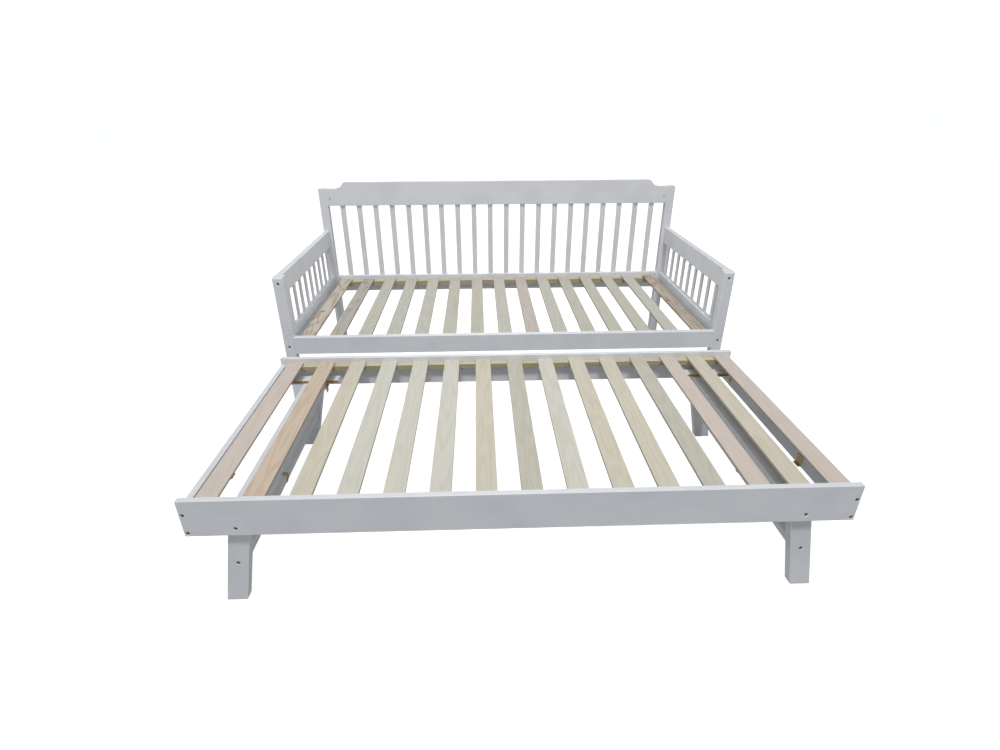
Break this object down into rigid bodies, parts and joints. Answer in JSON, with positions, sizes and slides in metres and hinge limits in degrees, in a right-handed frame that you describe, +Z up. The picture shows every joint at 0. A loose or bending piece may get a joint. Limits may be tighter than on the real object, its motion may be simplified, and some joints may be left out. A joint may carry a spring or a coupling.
{
  "type": "trundle bed",
  "caption": "White wooden daybed with spindle back and arms and a slatted base, with a second slatted bed on folding legs that stows underneath.",
  "frame": {"origin": "on the floor, in the middle of the whole set as it stands with the trundle pulled out", "axes": "+Z up, +X along the bed to the right as seen from the front, +Y from the trundle towards the backrest"},
  "size_m": [2, 2.18, 0.938],
  "materials": {
    "white_painted_wood": "white paint on pine, semi-matt, eased edges",
    "bare_slat": "planed unpainted poplar and pine slats, matt",
    "bare_ledger": "sawn unpainted pine, matt",
    "brass_hinge": "brass-plated pressed steel",
    "zinc_steel": "zinc-plated turned steel"
  },
  "bodies": {
    "root": {"front_left_post": "white_painted_wood", "front_right_post": "white_painted_wood", "back_left_post": "white_painted_wood", "back_right_post": "white_painted_wood", "front_rail": "white_painted_wood", "back_top_rail": "white_painted_wood", "back_spindle_panel": "white_painted_wood", "left_arm_panel": "white_painted_wood", "right_arm_panel": "white_painted_wood", "bed_front_ledger": "bare_ledger", "bed_back_ledger": "bare_ledger", "bed_slat_1": "bare_slat", "bed_slat_2": "bare_slat", "bed_slat_3": "bare_slat", "bed_slat_4": "bare_slat", "bed_slat_5": "bare_slat", "bed_slat_6": "bare_slat", "bed_slat_7": "bare_slat", "bed_slat_8": "bare_slat", "bed_slat_9": "bare_slat", "bed_slat_10": "bare_slat", "bed_slat_11": "bare_slat", "bed_slat_12": "bare_slat", "bed_slat_13": "bare_slat", "bed_slat_14": "bare_slat", "bed_slat_15": "bare_slat"},
    "trundle_link": {"left_rail_barrel_nut": "zinc_steel"},
    "trundle": {"trundle_front_board": "white_painted_wood", "trundle_rear_board": "white_painted_wood", "trundle_left_side": "white_painted_wood", "trundle_right_side": "white_painted_wood", "trundle_front_ledger": "bare_ledger", "trundle_rear_ledger": "bare_ledger", "left_hinge_rail": "white_painted_wood", "right_hinge_rail": "white_painted_wood", "left_front_hinge": "brass_hinge", "left_rear_hinge": "brass_hinge", "right_front_hinge": "brass_hinge", "right_rear_hinge": "brass_hinge", "trundle_slat_1": "bare_slat", "trundle_slat_2": "bare_slat", "trundle_slat_3": "bare_slat", "trundle_slat_4": "bare_slat", "trundle_slat_5": "bare_slat", "trundle_slat_6": "bare_slat", "trundle_slat_7": "bare_slat", "trundle_slat_8": "bare_slat", "trundle_slat_9": "bare_slat", "trundle_slat_10": "bare_slat", "trundle_slat_11": "bare_slat", "trundle_slat_12": "bare_slat", "trundle_slat_13": "bare_slat", "trundle_slat_14": "bare_slat", "trundle_slat_15": "bare_slat"},
    "left_legs": {"left_front_leg": "white_painted_wood", "left_rear_leg": "white_painted_wood", "left_leg_stretcher": "white_painted_wood"},
    "right_legs": {"right_front_leg": "white_painted_wood", "right_rear_leg": "white_painted_wood", "right_leg_stretcher": "white_painted_wood"}
  },
  "joints": [
    {"name": "trundle_stow", "type": "hinge", "parent": "root", "child": "trundle_link", "pos_m": [-0.802, -0.058, 2.3635], "axis": [1, 0, 0], "range_deg": [0, 30.4]},
    {"name": "trundle_level", "type": "hinge", "parent": "trundle_link", "child": "trundle", "pos_m": [-0.802, -1.008, 0.298], "axis": [1, 0, 0], "range_deg": [-30.4, 0]},
    {"name": "left_leg_fold", "type": "hinge", "parent": "trundle", "child": "left_legs", "pos_m": [-0.764, -0.601, 0.276], "axis": [0, -1, 0], "range_deg": [0, 105]},
    {"name": "right_leg_fold", "type": "hinge", "parent": "trundle", "child": "right_legs", "pos_m": [0.764, -0.601, 0.276], "axis": [0, 1, 0], "range_deg": [0, 105]}
  ],
  "couplings": [
    {"joint": "trundle_level", "follows": "trundle_stow", "ratio": -1},
    {"joint": "left_leg_fold", "follows": "trundle_stow", "ratio": 3.45},
    {"joint": "right_leg_fold", "follows": "trundle_stow", "ratio": 3.45}
  ]
}
